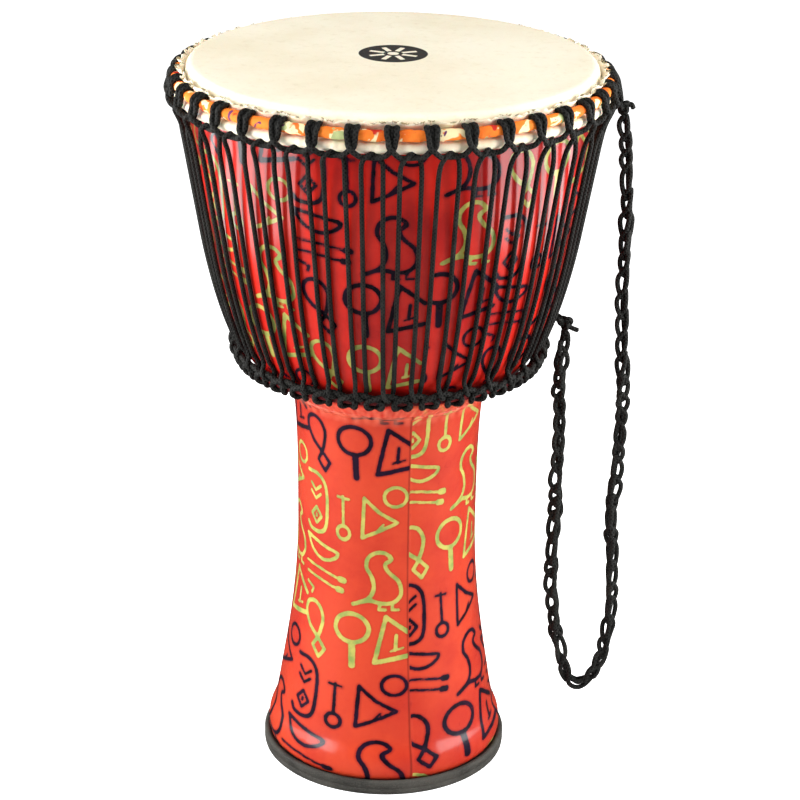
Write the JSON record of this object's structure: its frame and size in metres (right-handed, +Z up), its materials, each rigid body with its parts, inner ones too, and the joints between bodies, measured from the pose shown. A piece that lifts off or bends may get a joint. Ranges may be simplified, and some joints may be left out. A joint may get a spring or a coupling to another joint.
{
  "type": "djembe",
  "caption": "Rope-tuned goblet hand drum: goat skin head, crown ring and hoop, bowl over a flared foot, cloth-covered shell, black tuning ropes and a hanging braided tail.",
  "frame": {"origin": "on the floor under the drum's axis, at the middle of the rubber ring's underside", "axes": "+Z up along the drum's axis, -Y towards the front view, +X towards the hanging rope tail"},
  "size_m": [0.4123, 0.3903, 0.66],
  "materials": {
    "shell_plastic": "moulded, fine texture",
    "printed_cloth": "printed cotton under glossy clear coat",
    "base_rubber": "matt moulded rubber",
    "goat_skin": "dried goat skin, satin",
    "ring_steel": "welded steel rod",
    "orange_cloth": "wound printed cotton strip",
    "red_cloth": "wound cotton strip",
    "black_rope": "braided synthetic rope"
  },
  "bodies": {
    "drum": {"shell": "shell_plastic", "bowl_wrap": "printed_cloth", "foot_wrap": "printed_cloth", "foot_rubber": "base_rubber", "drum_skin": "goat_skin", "skin_skirt": "goat_skin", "vertical_rope": "black_rope", "bottom_ring": "ring_steel", "bottom_ring_wrap": "red_cloth", "bottom_hitch_rope": "black_rope", "bottom_rope_knot": "black_rope"},
    "tension_ring": {"crown_ring": "ring_steel", "crown_ring_wrap": "orange_cloth", "flesh_hoop": "ring_steel", "skin_collar": "goat_skin", "top_hitch_rope": "black_rope", "top_rope_knot": "black_rope", "tail_top_hitch": "black_rope", "tail_end_knot": "black_rope"},
    "tail": {"tail_rope": "black_rope"}
  },
  "joints": [
    {"name": "tuning_travel", "type": "slide", "parent": "drum", "child": "tension_ring", "axis": [0, 0, 1], "range_m": [-0.006, 0.004], "deforming": ["skin_skirt", "vertical_rope"]},
    {"name": "tail_swing", "type": "hinge", "parent": "tension_ring", "child": "tail", "pos_m": [0.158, 0, 0.4205], "axis": [0.2054, 0, 0.9787], "range_deg": [-35, 35]}
  ]
}
